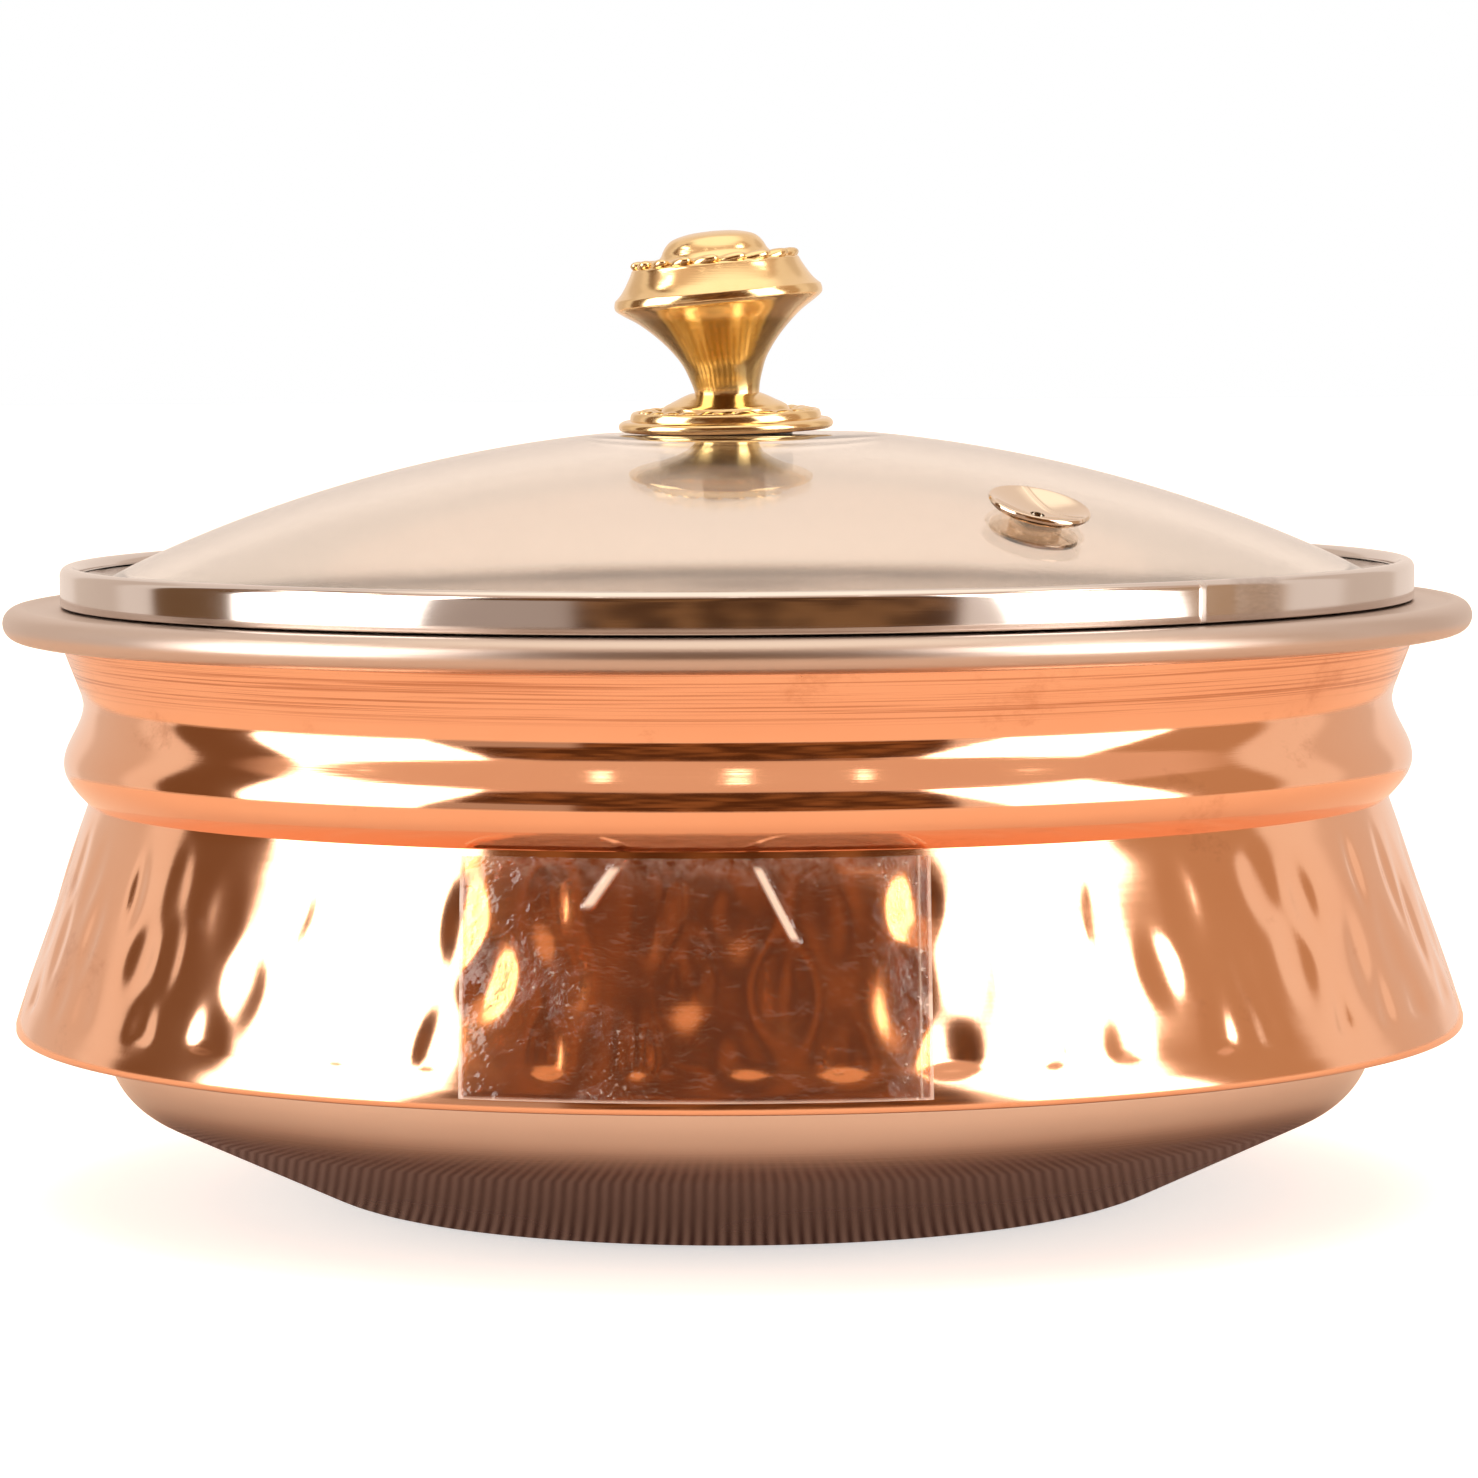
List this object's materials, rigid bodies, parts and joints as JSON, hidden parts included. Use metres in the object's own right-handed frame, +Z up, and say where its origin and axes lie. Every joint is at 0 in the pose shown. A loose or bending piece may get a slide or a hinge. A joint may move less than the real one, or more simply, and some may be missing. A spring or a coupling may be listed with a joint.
{
  "type": "lidded handi cooking pot",
  "caption": "Round handi: a steel bowl in a waisted copper jacket, with a domed glass lid, folded steel band, steam vent and brass knob.",
  "frame": {"origin": "centre of the bowl's flat base, on the surface it stands on", "axes": "+Z up along the pot's turned axis, through the knob; -Y towards the side with the vent and the film"},
  "size_m": [0.1886, 0.1886, 0.1242],
  "materials": {
    "polished_steel": "polished spun steel",
    "copper": "polished hammered copper",
    "clear_film": "clear wrinkled film",
    "lid_glass": "clear toughened glass",
    "lid_steel": "bright pressed steel",
    "brass": "polished turned brass",
    "gasket_rubber": "soft matt"
  },
  "bodies": {
    "root": {"steel_bowl": "polished_steel", "copper_jacket": "copper", "clear_label": "clear_film", "lid_glass": "lid_glass", "lid_band": "lid_steel", "vent_eyelet": "lid_steel", "knob_base": "brass", "knob_head": "brass", "knob_stud": "lid_steel", "upper_gasket": "gasket_rubber", "lower_gasket": "gasket_rubber", "screw_washer": "lid_steel", "knob_nut": "lid_steel"}
  },
  "joints": []
}
